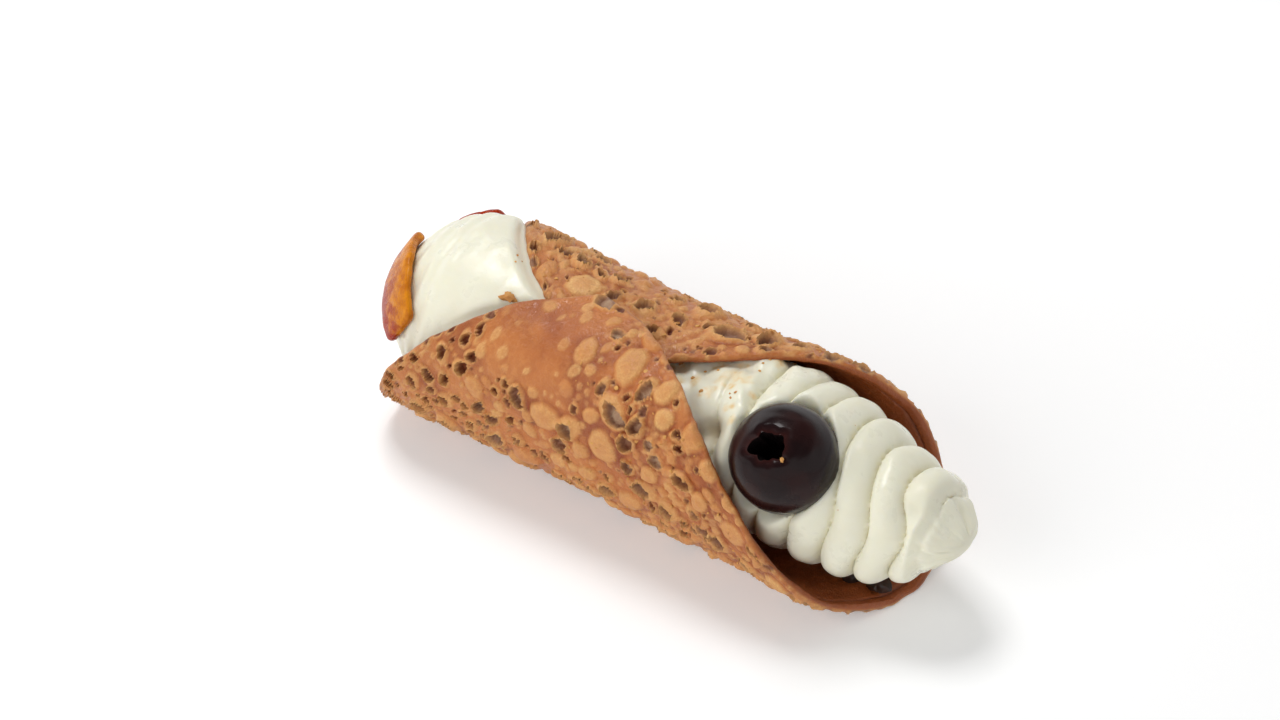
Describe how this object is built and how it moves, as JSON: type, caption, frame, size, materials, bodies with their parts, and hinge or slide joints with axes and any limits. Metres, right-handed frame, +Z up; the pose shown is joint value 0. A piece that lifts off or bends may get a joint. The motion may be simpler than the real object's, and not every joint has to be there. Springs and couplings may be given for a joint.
{
  "type": "filled cannolo",
  "caption": "Fried dough tube lying on its side, filled end to end with piped cream, with a candied cherry at one mouth and candied orange peel at the other.",
  "frame": {"origin": "bottom centre of the whole part, on the surface that it lies on", "axes": "+X along the tube towards the mouth with the cherry, +Z up, -Y the side of the upper overlapping flap"},
  "size_m": [0.1422, 0.052, 0.046],
  "materials": {
    "fried_dough": "crisp fried dough: satin caramel-brown skin with pale blisters, burst bubbles and dark red-brown creases",
    "whipped_cream": "smooth piped ricotta cream, off-white, softly glossy on its crests",
    "candied_cherry": "near-black syrup-glazed cherry with a dark red-brown edge",
    "candied_peel": "sticky translucent red-orange candied peel",
    "pastry_crumbs": "dry golden crumbs and flakes of fried dough",
    "chocolate_bits": "dark chocolate pieces, softly glossy"
  },
  "bodies": {
    "root": {"shell": "fried_dough", "cream": "whipped_cream", "cherry": "candied_cherry", "peel_end": "candied_peel", "peel_far": "candied_peel"}
  },
  "joints": []
}
